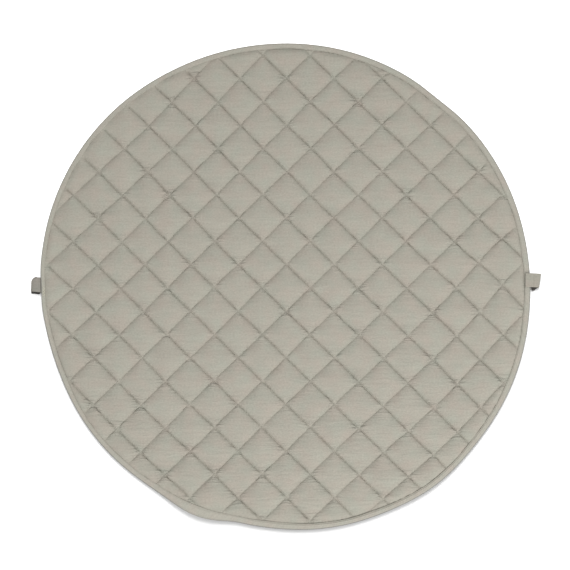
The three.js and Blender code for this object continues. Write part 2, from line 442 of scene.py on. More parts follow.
# %% Simulated puffs
SAMPLER_DIAMONDS = 4
SIM_SCALE = 20.0
SIM_FRAMES = 30
SIM_DRAWN_IN_BY = 13
CUT_TOO_WIDE = 0.03
CUT_TOO_TALL = 0.06
CUT_UNEVEN = 0.016
UNEVEN_WAVES = 8
UNEVEN_LENGTHS = (17 * MM, 70 * MM)
START_ROUGHNESS = 0.002
SIM_CLOTH = {  # settings of the Cloth modifier
    "quality": 6, "mass": 0.3, "air_damping": 1.0,
    "tension_stiffness": 30, "compression_stiffness": 30,
    "shear_stiffness": 5, "bending_stiffness": 0.12,
    "tension_damping": 5, "compression_damping": 5, "shear_damping": 5, "bending_damping": 0.5,
    "vertex_group_mass": "sewn", "pin_stiffness": 1.0,
    "use_pressure": True, "uniform_pressure_force": 10.0,
}
SAMPLER_SEED = 7


def cut_cloth(x, y):
    """Points of the sampler as it is cut: a few per cent too large, a little uneven, by half as much
    across as along, and not quite flat, so that it has somewhere to buckle."""
    rng = np.random.default_rng(SAMPLER_SEED)
    waves = (UNEVEN_WAVES, *(length * SIM_SCALE for length in UNEVEN_LENGTHS))
    return np.stack(
        [
            x * (1 + CUT_TOO_WIDE) + 0.5 * CUT_UNEVEN * plane_waves(x, y, rng, *waves),
            y * (1 + CUT_TOO_TALL) + CUT_UNEVEN * plane_waves(x, y, rng, *waves),
            START_ROUGHNESS * rng.standard_normal(x.shape),
        ],
        -1,
    ).reshape(-1, 3)


def sampler_cloth(cut, sewn, quads, on_line):
    """The sampler as cloth: its points on the sewn lines are held, and a shape key draws them from
    where they are cut to where they are sewn. The rest is free to swell under the pressure."""
    sampler = make_piece("sampler", cut, [quads], [cut[quads][..., :2]])
    sampler.vertex_groups.new(name="sewn").add(np.flatnonzero(on_line).tolist(), 1.0, "REPLACE")
    sampler.shape_key_add(name="cut")
    drawn_in = sampler.shape_key_add(name="sewn")
    drawn_in.data.foreach_set("co", sewn.ravel())
    drawn_in.keyframe_insert("value", frame=1)
    drawn_in.value = 1.0
    drawn_in.keyframe_insert("value", frame=SIM_DRAWN_IN_BY)
    cloth = sampler.modifiers.new("cloth", "CLOTH")
    for name, value in SIM_CLOTH.items():
        setattr(cloth.settings, name, value)
    cloth.settings.effector_weights.gravity = 0
    cloth.collision_settings.use_collision = False
    cloth.point_cache.frame_start = 1
    cloth.point_cache.frame_end = SIM_FRAMES
    return sampler


def simulated_puffs():
    """Shift of every point of every sampler diamond from its flat sewn place: [diamond, a, b, xyz]."""
    count = SAMPLER_DIAMONDS
    t = lines_across(count, FACE_STEPS)
    a, b = np.meshgrid(t, t, indexing="ij")
    x = (a - b) * HALF_WIDTH * SIM_SCALE
    y = (a + b - count) * HALF_HEIGHT * SIM_SCALE
    sewn = np.stack([x, y, 0 * x], -1).reshape(-1, 3)
    n = len(t)
    index = np.arange(n * n).reshape(n, n)
    corners = (index[:-1, :-1], index[1:, :-1], index[1:, 1:], index[:-1, 1:])
    quads = np.stack(corners, -1).reshape(-1, 4)
    on_line = (np.isclose(a % 1, 0) | np.isclose(b % 1, 0)).ravel()
    sampler = sampler_cloth(cut_cloth(x, y), sewn, quads, on_line)
    for number in range(1, SIM_FRAMES + 1):
        scene.frame_set(number)
    filled = sampler.evaluated_get(bpy.context.evaluated_depsgraph_get())
    places = np.empty(n * n * 3, dtype=np.float32)
    filled.data.vertices.foreach_get("co", places)
    shift = (places.reshape(n, n, 3) - sewn.reshape(n, n, 3)) / SIM_SCALE
    bpy.data.actions.remove(sampler.data.shape_keys.animation_data.action)
    bpy.data.meshes.remove(sampler.data)
    scene.frame_set(1)
    starts = np.arange(count) * FACE_STEPS
    reach = np.arange(FACE_STEPS + 1)
    rows = (starts[:, None] + reach)[:, None, :, None]
    columns = (starts[:, None] + reach)[None, :, None, :]
    return shift[rows, columns].reshape(count * count, FACE_STEPS + 1, FACE_STEPS + 1, 3)


puffs = simulated_puffs()
crowns = puffs[..., 2].max(axis=(1, 2)) / MM
print("puffs:", len(puffs), "crowns from", crowns.min().round(1), "to", crowns.max().round(1), "mm")

# %% [markdown]
# ## Quilted panel
# The panel is one filled body: a face of puffs, a flatter back, and a rim pressed thin inside the
# binding. It could be a flat mesh with a displacement, but then the seams would be as coarse as
# its grid. Here the grid itself runs along the sewn lines and is finest beside them. Each diamond
# takes one of the simulated puffs, turned or mirrored at random, so neighbours seldom match. The
# sewn lines pull askew in places and wander a little, as a needle does.

# %% Sewn lines
SEAM_GROOVES = (  # depth, half width
    (2.1 * MM, 2.1 * MM),  # seams that fall to the right
    (0.5 * MM, 1.5 * MM),  # seams that rise to the right
)
CROSSING = {"reach": 3 * MM, "shallower": 0.3}
QUILTING_MOVE_Y = -2.8 * MM
QUILT_PULLS = (  # x, y, move x, move y, reach, all in mm
    (-300, 330, 14, -2, 190),
    (-390, 40, 6, -2, 130),
    (330, -300, 6, -10, 150),
    (320, -80, 5, -2, 110),
    (450, 40, -1, 10, 60),
    (-330, -290, -3, -4, 110),
)
SEAM_WANDER = {"by": 0.7 * MM, "waves": 10, "shortest": 60 * MM, "longest": 220 * MM, "seed": 5}


def quilt_place(a, b):
    """Plan place of the quilting's coordinates, in which the sewn lines are at halves: x = (a - b)·
    half width and y = (a + b)·half height, moved down a little as a whole, plus move·exp(-(distance
    / reach)²) for each pull, plus a slow wander of the needle."""
    x, y = (a - b) * HALF_WIDTH, (a + b) * HALF_HEIGHT
    moved_x, moved_y = x.copy(), y + QUILTING_MOVE_Y
    for at_x, at_y, move_x, move_y, reach in QUILT_PULLS:
        share = np.exp(-((x - at_x * MM) ** 2 + (y - at_y * MM) ** 2) / (reach * MM) ** 2)
        moved_x += move_x * MM * share
        moved_y += move_y * MM * share
    rng = np.random.default_rng(SEAM_WANDER["seed"])
    waves = [SEAM_WANDER[key] for key in ("waves", "shortest", "longest")]
    moved_x += SEAM_WANDER["by"] * plane_waves(x, y, rng, *waves)
    moved_y += SEAM_WANDER["by"] * plane_waves(x, y, rng, *waves)
    return moved_x, moved_y


def off_line(t):
    """Distance from the nearest sewn line of one direction."""
    return np.abs(t - np.floor(t) - 0.5) * LINE_SPACING


def to_seam(a, b):
    """Distance from the nearest sewn line of either direction."""
    return np.minimum(off_line(a), off_line(b))


def groove_at(a, b):
    """Depth of the furrow at the stitches: the deeper of both directions' depth·exp(-(distance /
    half)²), and less deep at a crossing. One direction looks much deeper in the photograph."""
    falling, rising = (
        depth * np.exp(-((off_line(t) / half) ** 2)) for (depth, half), t in zip(SEAM_GROOVES, (a, b))
    )
    crossing = np.exp(-(np.hypot(off_line(a), off_line(b)) / CROSSING["reach"]) ** 2)
    return np.maximum(falling, rising) * (1 - CROSSING["shallower"] * crossing)


print("sewn lines are", round(LINE_SPACING / MM, 1), "mm apart")

# %% Puffs over the mat
DIAMONDS_ACROSS = 17
PUFF_SIZES = (0.9, 1.08)
FILLING = 0.72  # share of the simulated height that this mat's thin wadding reaches
CORNER_PUCKER = {
    "height": 1.0 * MM, "wavelength": 7.2 * MM, "slant": 4.5,
    "starts": 0.25, "grows": 0.35, "off_seam": 4 * MM,  # where in a diamond
    "low": -0.25, "more_low": 1.2,  # below this y, and how many times as high there
}


def turned_puffs(shapes):
    """Each puff as it is, mirrored left to right, mirrored top to bottom, and turned half round."""
    left_right = shapes.transpose(0, 2, 1, 3) * np.array([-1, 1, 1])
    half_turn = shapes[:, ::-1, ::-1] * np.array([-1, -1, 1])
    top_bottom = half_turn.transpose(0, 2, 1, 3) * np.array([-1, 1, 1])
    return np.concatenate([shapes, left_right, top_bottom, half_turn])


def puff_field(rng):
    """The puffs laid side by side over the whole lattice, each one a little fuller or flatter."""
    choices = turned_puffs(puffs)
    lattice = (DIAMONDS_ACROSS, DIAMONDS_ACROSS)
    chosen = choices[rng.integers(len(choices), size=lattice)]
    chosen = chosen[:, :, :-1, :-1] * rng.uniform(*PUFF_SIZES, (*lattice, 1, 1, 1))
    chosen = chosen * np.array([1.0, 1.0, FILLING])
    side = DIAMONDS_ACROSS * FACE_STEPS
    field = chosen.transpose(0, 2, 1, 3, 4).reshape(side, side, 3)
    return np.pad(field, ((0, 1), (0, 1), (0, 0)))


def corner_puckers(a, b, y, rng):
    """Short level creases near the top and bottom corner of each diamond: height·envelope·
    sin(2π·rise / wavelength + start + slant·sideways), where the rise is measured up the picture.
    Height, start and slant differ from diamond to diamond. The height is a random number squared,
    so that few diamonds have deep creases, and it is greater low on the mat."""
    across, along = np.floor(a + 0.5).astype(int), np.floor(b + 0.5).astype(int)
    up = (a - across) + (b - along)
    sideways = (a - across) - (b - along)
    near = smooth((np.abs(up) - CORNER_PUCKER["starts"]) / CORNER_PUCKER["grows"])
    near = near * smooth(to_seam(a, b) / CORNER_PUCKER["off_seam"])
    size = DIAMONDS_ACROSS + 2
    row, column = across % size, along % size
    height = rng.uniform(0.0, 1.0, (size, size))[row, column] ** 2
    height = height * np.where(y < CORNER_PUCKER["low"], CORNER_PUCKER["more_low"], 1.0)
    start = rng.uniform(0, 2 * np.pi, (size, size))[row, column]
    slant = rng.uniform(-CORNER_PUCKER["slant"], CORNER_PUCKER["slant"], (size, size))[row, column]
    turns = up * HALF_HEIGHT / CORNER_PUCKER["wavelength"]
    wave = np.sin(2 * np.pi * turns + start + slant * sideways)
    return CORNER_PUCKER["height"] * height * near * wave


print("the lattice has", DIAMONDS_ACROSS, "by", DIAMONDS_ACROSS, "diamonds")

# %% Face and back
BACK_STEPS = 10
PUFF_SEED = 21
SEWN_HEIGHT = 5.0 * MM
RIM_PUFF_SHARE = 0.72  # of a puff's height beside the binding, growing to all of it
RIM_PUFF_WIDTH = 22 * MM
RIM_HEIGHT = 4.7 * MM  # of the face where it goes under the binding
RIM_FLAT = 0.5 * MM
RIM_RISE = 4.2 * MM
DITCH_FILLING = 1.5 * MM  # how much higher the face starts where there is no ditch
BACK_DIMPLE = {"height": 1.6 * MM, "half": 5 * MM, "fade": 20 * MM}


def past_binding(x, y):
    """How far a place is inside the binding's inner edge."""
    return inside_of(x, y) - binding_width(degrees_of(x, y))


def risen_share(free):
    """How far the face has risen from the pressed rim, by the distance inside the binding."""
    return smooth((free - RIM_FLAT) / RIM_RISE)


def face_points():
    """Points of the face: the sewn height, less the furrow at the stitches, plus puff and creases,
    sinking to the pressed rim at the binding. With them come their plan places and their a and b."""
    rng = np.random.default_rng(PUFF_SEED)
    t = lines_across(DIAMONDS_ACROSS, FACE_STEPS) - DIAMONDS_ACROSS / 2
    a, b = np.meshgrid(t, t, indexing="ij")
    x, y = quilt_place(a, b)
    free = past_binding(x, y)
    share = RIM_PUFF_SHARE + (1 - RIM_PUFF_SHARE) * smooth(free / RIM_PUFF_WIDTH)
    risen = risen_share(free)
    shift = puff_field(rng) * (share * risen)[..., None]
    at_binding = RIM_HEIGHT + DITCH_FILLING * (1 - ditch_share(degrees_of(x, y)))
    sewn = SEWN_HEIGHT - groove_at(a, b) + corner_puckers(a, b, y, rng)
    z = at_binding + (sewn - at_binding) * risen + shift[..., 2] + lift_at(x, y)
    points = np.stack([x + shift[..., 0], y + shift[..., 1], z], -1)
    return points, np.stack([x, y], -1), np.stack([a, b], -1)


def back_height(a, b, x, y):
    """Height of the back: flat on the floor, drawn up by height·exp(-(distance / half)²) at each
    sewn line, which fades out towards the rim."""
    drawn_up = BACK_DIMPLE["height"] * np.exp(-((to_seam(a, b) / BACK_DIMPLE["half"]) ** 2))
    return drawn_up * smooth(past_binding(x, y) / BACK_DIMPLE["fade"]) + lift_at(x, y)


def back_points():
    """Points of the back's own, coarser grid, and their plan places."""
    t = np.linspace(-DIAMONDS_ACROSS / 2, DIAMONDS_ACROSS / 2, DIAMONDS_ACROSS * BACK_STEPS + 1)
    a, b = np.meshgrid(t, t, indexing="ij")
    x, y = quilt_place(a, b)
    return np.stack([x, y, back_height(a, b, x, y)], -1), np.stack([x, y], -1)


face, face_plan, face_ab = face_points()
back, back_plan = back_points()
print("face grid", face.shape[:2], "back grid", back.shape[:2])
print("highest point", (face[..., 2].max() / MM).round(1), "mm")

# %% [markdown]
# ### Closing the panel
# On the real mat the three layers end under the binding, pressed thin. The lattice of diamonds and
# the round rim don't share any lines, so a common grid isn't possible. Instead each lattice grid
# ends in steps, out of sight under the binding, a band of rings goes round the pressed edge, and
# triangles join them. That keeps the panel one closed body.

# %% Panel rim and body
RIM_POINTS = 720
FACE_MARGIN = 4.0 * MM
BACK_MARGIN = 17.0 * MM
RIM_RINGS = (  # how far inside the outline, and height, both in mm, from the face round to the back
    (3.2, 4.7),
    (2.3, 4.3),
    (2.0, 3.3),
    (2.3, 2.3),
    (3.2, 1.9),
    (12.6, 1.7),
    (15.0, 0.0),
)


def ring_in_order(following, start):
    """The points of a closed ring in order, when each one's next is known. Jumps of 1, 2, 4 ... steps
    double the list each time, until it meets its start again."""
    order, jump = np.array([start]), following
    while True:
        more = jump[order]
        back_at_start = np.flatnonzero(more == start)
        if len(back_at_start):
            return np.concatenate([order, more[: back_at_start[0]]])
        order, jump = np.concatenate([order, more]), jump[jump]


def patch_within(plan, margin):
    """Quads of a lattice grid that lie deeper inside the outline than a margin, and the ring of points
    round them, anticlockwise."""
    deep = inside_of(plan[..., 0], plan[..., 1]) >= margin
    kept = deep[:-1, :-1] & deep[1:, :-1] & deep[1:, 1:] & deep[:-1, 1:]
    index = np.arange(deep.size).reshape(deep.shape)
    corner = (index[:-1, :-1], index[1:, :-1], index[1:, 1:], index[:-1, 1:])
    framed = np.pad(kept, 1)
    beyond = (framed[1:-1, :-2], framed[2:, 1:-1], framed[1:-1, 2:], framed[:-2, 1:-1])
    following = np.arange(deep.size)
    for side in range(4):
        edge = kept & ~beyond[side]
        following[corner[side][edge]] = corner[(side + 1) % 4][edge]
    on_ring = np.flatnonzero(following != np.arange(deep.size))
    ring = ring_in_order(following, on_ring[0])
    assert len(ring) == len(on_ring), "the patch has more than one ring"
    return np.stack(corner, -1)[kept], ring


def strip_between(inner, outer, plan):
    """Triangles between two rings, facing up. Going round by angle, each point makes a triangle with
    the one before it in its own ring and the latest one of the other ring."""
    rings = []
    for ring in (inner, outer):
        angle = np.arctan2(plan[ring, 1], plan[ring, 0]) % (2 * np.pi)
        first = np.argmin(angle)
        rings.append((np.roll(ring, -first), np.maximum.accumulate(np.roll(angle, -first))))
    (inner, inner_angle), (outer, outer_angle) = rings
    is_inner = np.argsort(np.concatenate([inner_angle, outer_angle]), kind="stable") < len(inner)
    last_inner, last_outer = np.cumsum(is_inner) - 1, np.cumsum(~is_inner) - 1
    k, j = last_inner[is_inner], last_outer[is_inner]
    from_inner = np.stack([inner[k], inner[k - 1], outer[j]], -1)
    k, j = last_inner[~is_inner], last_outer[~is_inner]
    from_outer = np.stack([outer[j - 1], outer[j], inner[k]], -1)
    return np.concatenate([from_inner, from_outer])


ring_deg = np.arange(RIM_POINTS) * 360.0 / RIM_POINTS
ring_inside, ring_height = (np.array(RIM_RINGS) * MM).T
radius = outline_radius(ring_deg)[None, :] - ring_inside[:, None]
rim_x, rim_y = radius * np.cos(np.radians(ring_deg)), radius * np.sin(np.radians(ring_deg))
rim = np.stack([rim_x, rim_y, ring_height[:, None] + lift_at(rim_x, rim_y)], -1)

panel_points = np.concatenate([face.reshape(-1, 3), back.reshape(-1, 3), rim.reshape(-1, 3)])
panel_plan = np.concatenate([plan.reshape(-1, 2) for plan in (face_plan, back_plan, rim[..., :2])])
face_quads, face_ring = patch_within(face_plan, FACE_MARGIN)
back_quads, back_ring = patch_within(back_plan, BACK_MARGIN)
back_start = face.size // 3
rim_start = back_start + back.size // 3
back_quads, back_ring = back_quads[:, ::-1] + back_start, back_ring + back_start
rim_quads = closed_grid(len(RIM_RINGS), RIM_POINTS, False)[0] + rim_start
first_ring = rim_start + np.arange(RIM_POINTS)
last_ring = first_ring + (len(RIM_RINGS) - 1) * RIM_POINTS
triangles = np.concatenate(
    [
        strip_between(face_ring, first_ring, panel_plan),
        strip_between(back_ring, last_ring, panel_plan)[:, ::-1],
    ]
)
quads = np.concatenate([face_quads, back_quads, rim_quads])
panel_ab = np.zeros_like(panel_plan)
panel_ab[:back_start] = face_ab.reshape(-1, 2)
panel = make_piece(
    "panel_quilted", panel_points, [quads, triangles],
    [panel_plan[quads], panel_plan[triangles]], [panel_ab[quads], panel_ab[triangles]],
)

# %% [markdown]
# ## Binding
# The binding is a strip cut on the bias, folded round the rim and sewn through near its inner
# edge. One section in the form of a C is carried along the outline. A curve with a bevel would do
# that too, but here the section can dip at the stitches, roll up between them and the fold, and
# widen where the rim is turned up. Small gathers and a slow drift keep it from looking extruded.

# %% Binding section
BINDING_HALF_THICK = 0.6 * MM
LEAF_STEPS = 26
ARC_STEPS = 7
LOWER_LEAF_STEPS = 8
# the rest are in mm: insets from the outline, heights above the floor
FOLD_INSET = 4.6
FOLD_WIDTH = FOLD_INSET - BINDING_HALF_THICK / MM
FOLD_TOP = 4.2
FOLD_MIDDLE = 3.2
LOWER_LEAF_HEIGHT = 0.6
LEAF_END_INSET = 11.4
LEAF_HEIGHT = 6.85
LEAF_ROLL = {"height": 0.22, "from": 2.0, "width": 8.0}
TURNED_IN = {"depth": 0.28, "at": 6.2, "half": 0.6}
LEAF_DROP = {"depth": 0.75, "from": 10.4, "width": 1.0}
EDGE_STITCH_INSET = 10.1
EDGE_GROOVE = {"depth": 0.85, "half": 0.8}


def stitched_share(inset):
    """exp(-((inset - stitches) / half)²): 1 at the stitches, fading out on both sides of them."""
    return np.exp(-(((inset - EDGE_STITCH_INSET) / EDGE_GROOVE["half"]) ** 2))


def leaf_height(inset):
    """Middle height of the upper leaf in mm: a low roll, less a groove at the stitches and a faint one
    over the turned-in edge, dropping to the panel at the end."""
    over_roll = np.clip((inset - LEAF_ROLL["from"]) / LEAF_ROLL["width"], 0, 1)
    roll = LEAF_ROLL["height"] * np.sin(np.pi * over_roll)
    stitched = EDGE_GROOVE["depth"] * stitched_share(inset)
    turned_in = TURNED_IN["depth"] * np.exp(-(((inset - TURNED_IN["at"]) / TURNED_IN["half"]) ** 2))
    drop = LEAF_DROP["depth"] * smooth((inset - LEAF_DROP["from"]) / LEAF_DROP["width"])
    return LEAF_HEIGHT + roll - stitched - turned_in - drop


def shallower(deg):
    """How much less deep the stitches lie than usual, in mm, where the ditch is shallow."""
    return (1 - ditch_share(deg)) * EDGE_GROOVE["depth"]


def binding_section():
    """The section as a closed ring of [inset, height] in mm: a middle line along the upper leaf, round
    the fold in two quarter arcs and along the lower leaf, with half the thickness on both sides."""
    upper = np.linspace(LEAF_END_INSET, FOLD_INSET, LEAF_STEPS)
    lower = np.linspace(FOLD_INSET, LEAF_END_INSET, LOWER_LEAF_STEPS)[1:]
    turn = np.linspace(0, np.pi / 2, ARC_STEPS)[1:]
    over = FOLD_TOP + (leaf_height(FOLD_INSET) - FOLD_TOP) * np.cos(turn)
    under = FOLD_MIDDLE - (FOLD_MIDDLE - LOWER_LEAF_HEIGHT) * np.sin(turn)
    middle = np.concatenate(
        [
            np.stack([upper, leaf_height(upper)], -1),
            np.stack([FOLD_INSET - FOLD_WIDTH * np.sin(turn), over], -1),
            [[FOLD_INSET - FOLD_WIDTH, FOLD_MIDDLE]],
            np.stack([FOLD_INSET - FOLD_WIDTH * np.cos(turn), under], -1),
            np.stack([lower, np.full_like(lower, LOWER_LEAF_HEIGHT)], -1),
        ]
    )
    along = np.gradient(middle, axis=0)
    along /= np.linalg.norm(along, axis=1, keepdims=True)
    half_thick = BINDING_HALF_THICK / MM
    out = np.stack([along[:, 1], -along[:, 0]], -1) * half_thick
    ends = [middle[-1] + along[-1] * half_thick, middle[0] - along[0] * half_thick]
    return np.concatenate([middle + out, ends[:1], (middle - out)[::-1], ends[1:]])


section = binding_section()
round_section = np.linalg.norm(np.diff(np.concatenate([section, section[:1]]), axis=0), axis=1)

# %% [markdown]
# ### Round the rim
# The section is carried round in many small steps, and gathers, drift and the changing ditch are
# added to its upper leaf as whole arrays. At the very edge, along the fold, a thin darker line is
# painted shade: a darker tone is mixed into the cloth's colour there. It is written to the mesh as
# an attribute, which the cloth's finish reads.

# %% Binding
BINDING_STEPS = 900
BINDING_SEED = 31
GATHERS = {"waves": 14, "shortest": 9, "longest": 30, "height": 0.14}  # lengths in mm
DRIFT = {"waves": 8, "shortest": 40, "longest": 160, "height": 0.08, "aside": 0.30}
UPPER_LEAF = {"from": 4.5, "over": 1.5}  # heights in mm
GATHERED = {"at": 6.5, "half": 2.6}  # insets in mm
DRIFTING = {"from": 4.0, "over": 6.0}  # insets in mm
# painted shade along the binding's fold: how strong, how far along the cloth, more low, less at the
# wave
FOLD_PAINTED_SHADE = {  # shares, and angles in degrees; the reach is along the cloth
    "reach": 5.0 * MM, "full": 1.7, "usual": 0.62, "more_below": 0.4,
    "less_at": 248.5, "less_reach": 7.0, "less_by": 0.6,
}


def rim_waves(deg, rng, count, shortest, longest):
    """Sum of sines round the rim with whole numbers of waves, for lengths in mm, divided by the root
    of their number."""
    total = np.zeros_like(deg)
    for _ in range(count):
        waves = np.round(2 * np.pi * MAT_RADIUS / MM / rng.uniform(shortest, longest))
        total += np.sin(np.radians(deg) * waves + rng.uniform(0, 2 * np.pi))
    return total / np.sqrt(count)


def on_rim(deg, inset, height):
    """Place at a height and at an inset from the outline, which is given for the binding's usual
    width and grows or shrinks with it."""
    reach = outline_radius(deg) - inset * binding_width(deg) / BINDING_WIDTH
    x, y = reach * np.cos(np.radians(deg)), reach * np.sin(np.radians(deg))
    return np.stack([x, y, height + lift_at(x, y)], -1)


binding_deg = np.arange(BINDING_STEPS) * 360.0 / BINDING_STEPS
binding_rng = np.random.default_rng(BINDING_SEED)
gather, drift = (
    rim_waves(binding_deg, binding_rng, kind["waves"], kind["shortest"], kind["longest"])[:, None]
    for kind in (GATHERS, DRIFT)
)
inset, height = section[None, :, 0], section[None, :, 1]
on_top = smooth((height - UPPER_LEAF["from"]) / UPPER_LEAF["over"])
between = np.exp(-(((inset - GATHERED["at"]) / GATHERED["half"]) ** 2))
drifting = smooth((inset - DRIFTING["from"]) / DRIFTING["over"])
inset = inset + drift * DRIFT["aside"] * drifting * on_top
height = height + (gather * GATHERS["height"] + drift * DRIFT["height"]) * between * on_top
height = height + shallower(binding_deg)[:, None] * stitched_share(inset) * on_top
binding_points = on_rim(binding_deg[:, None], inset * MM, height * MM)
binding_quads, binding_row, binding_column = closed_grid(BINDING_STEPS, len(section), True)
across_cloth = np.concatenate([[0], np.cumsum(round_section)]) * MM
along_cloth = np.arange(BINDING_STEPS + 1) * 2 * np.pi * MAT_RADIUS / BINDING_STEPS
binding_uv = np.stack([along_cloth[binding_row], across_cloth[binding_column]], -1)
binding = make_piece("binding_folded", binding_points.reshape(-1, 3), [binding_quads], [binding_uv])

# How strong the painted shade along the fold is: full over its middle, then falling to nothing,
# more along the lower edge, where the light makes the fold bright, and less at the wave.
from_fold = np.abs(across_cloth[:-1] - across_cloth[np.argmin(section[:, 0])])
painted_fold_shade = np.clip(FOLD_PAINTED_SHADE["full"] * (1 - from_fold / FOLD_PAINTED_SHADE["reach"]), 0, 1)
at_wave = bump_share(FOLD_PAINTED_SHADE["less_at"], FOLD_PAINTED_SHADE["less_reach"], binding_deg)
by_place = FOLD_PAINTED_SHADE["usual"] - FOLD_PAINTED_SHADE["more_below"] * np.sin(np.radians(binding_deg))
by_place *= 1 - FOLD_PAINTED_SHADE["less_by"] * at_wave
set_share(binding, "painted_fold_shade", painted_fold_shade[None, :] * by_place[:, None])

# %% [markdown]
# ## Tape loops
# Each loop is a short flat tape, folded back on itself with both ends caught at the binding. It is
# a strip carried along a curve in side view, with the tape's width square to it. A plane bent with
# a Simple Deform modifier would fold too, but its two leaves would stay in line. Here the lower
# leaf sits a little askew of the upper one, as the photograph shows, so the inside of the fold can
# be seen as a slit at the lower edge. That slit is dark with painted shade: the tape's inner side
# has a near-black tone. The curves are close to those of the CAD model, changed a little where the
# photograph asks for it.

# %% Tape lines
# Lengths are in mm here.
TAPE_WIDTH = 30.0
TAPE_HALF_THICK = 0.5
TAPE_STATIONS = 96
TAPE_ACROSS = 25
LOOP_REACH = 20.0
TAPE_ON_FLOOR = 0.55
ROUNDED_FROM = 0.3125  # share of the loop's reach at which its corner begins to round
ROUNDED_OVER = 0.625
# A line's points are how far out of the edge and how high the tape is. "squeeze" is a share of the
# width, "slant" is how much further out the fold reaches at one side of the tape than at the other,
# "turn" moves the fold sideways, and "round_off" rounds its corner. "skew" is how far the lower leaf
# slides aside: none of it above the height "gone_at", all of it below "full_at", growing and fading
# with the way out.
LOOPS = {
    "loop_right": {
        "side": 1, "edge": 498.5, "y": 12.4,
        "squeeze": 0.06, "slant": 5.0, "round_off": 1.0, "turn": -1.2,
        "skew": -7.5, "full_at": 3.0, "gone_at": 8.0, "skew_grows": 3.0, "skew_fades": (5.0, 18.5),
        "line": (
            (-10.6, 10.05), (0, 10.0), (5, 8.8), (10, 9.4), (16.0, 8.6), (19.5, 5.6), (16.0, 2.6),
            (11, 1.9), (5, 3.0), (2.2, 5.2), (1.1, 7.3), (-2, 8.55), (-10.6, 8.55),
        ),
    },
    "loop_left": {
        "side": -1, "edge": 500.7, "y": 2.4,
        "squeeze": 0.0, "slant": -1.0, "round_off": 10.0, "turn": 2.2,
        "skew": -4.5, "full_at": 1.5, "gone_at": 6.5, "skew_grows": 3.5, "skew_fades": (40.0, 60.0),
        "line": (
            (-12, 3.2), (-5.5, 3.3), (-3.1, 4.2), (-1.2, 6.6), (0.5, 8.2), (4.5, 8.9), (11, 8.3),
            (15.4, 7.1), (19, 4.2), (16.2, 1.1), (12.6, 0.55), (7, 0.55), (0, 0.55), (-12, 0.55),
        ),
    },
}


def smooth_line(points, count):
    """Places along a Catmull-Rom curve, equally many between any two points: there the place is the
    cubic blend of them and their neighbours, with the end points repeated."""
    p = np.array(points, dtype=float)
    p = np.concatenate([p[:1], p, p[-1:]])
    where = np.linspace(0, len(points) - 1, count)
    k = np.minimum(where.astype(int), len(points) - 2)
    t = (where - k)[:, None]
    before, here, after, later = p[k], p[k + 1], p[k + 2], p[k + 3]
    return 0.5 * (
        2 * here + (after - before) * t
        + (2 * before - 5 * here + 4 * after - later) * t ** 2
        + (3 * here - before - 3 * after + later) * t ** 3
    )


for name, loop in LOOPS.items():
    print(name, "reaches", max(out for out, _ in loop["line"]), "mm past the rim")


# %% Tape loops
def tape_ring():
    """The tape's section as a ring: [across, thickness·(1 - (across / half)^10)^½], over and back."""
    share = np.sin(np.linspace(-np.pi / 2, np.pi / 2, TAPE_ACROSS))
    thick = TAPE_HALF_THICK * np.sqrt(np.clip(1 - share ** 10, 0, 1))
    ring_across = np.concatenate([share, share[-2:0:-1]]) * TAPE_WIDTH / 2
    return ring_across, np.concatenate([thick, -thick[-2:0:-1]])


def tape_surface(loop, line):
    """The ring carried along the line, as points in metres. Away from the sewn ends the lower leaf
    slides aside, the fold runs aslant, and one of its corners is rounded by a quarter circle."""
    along = np.gradient(line, axis=0)
    along /= np.linalg.norm(along, axis=1, keepdims=True)
    ring_across, ring_thick = tape_ring()
    out = line[:, :1] - along[:, 1:] * ring_thick
    up = line[:, 1:] + along[:, :1] * ring_thick
    out_share = np.maximum(out, 0) / LOOP_REACH
    low_share = smooth((loop["gone_at"] - up) / (loop["gone_at"] - loop["full_at"]))
    across = loop["side"] * ring_across * (1 - loop["squeeze"])
    into_corner = np.clip((across - TAPE_WIDTH / 2) / loop["round_off"] + 1, 0, 1)
    rounded = loop["round_off"] * (1 - np.sqrt(1 - into_corner ** 2))
    at_fold = smooth((out_share - ROUNDED_FROM) / ROUNDED_OVER)
    out = out + loop["slant"] * out_share * across / TAPE_WIDTH - rounded * at_fold
    fade_from, fade_to = loop["skew_fades"]
    askew = smooth(out / loop["skew_grows"]) * (1 - smooth((out - fade_from) / (fade_to - fade_from)))
    y = loop["y"] + across + loop["skew"] * low_share * askew + loop["turn"] * out_share
    return np.stack([loop["side"] * (loop["edge"] + out), y, up], -1) * MM


def tape_end(first, round_count, flipped):
    """Quads and two triangles that close the ring of points beginning at a given number."""
    top = first + np.arange(TAPE_ACROSS)
    bottom = first + (round_count - np.arange(TAPE_ACROSS)) % round_count
    quads = np.stack([top[1:-2], top[2:-1], bottom[2:-1], bottom[1:-2]], -1)
    tips = np.array([[top[0], top[1], bottom[1]], [top[-2], top[-1], bottom[-2]]])
    return (quads[:, ::-1], tips[:, ::-1]) if flipped else (quads, tips)


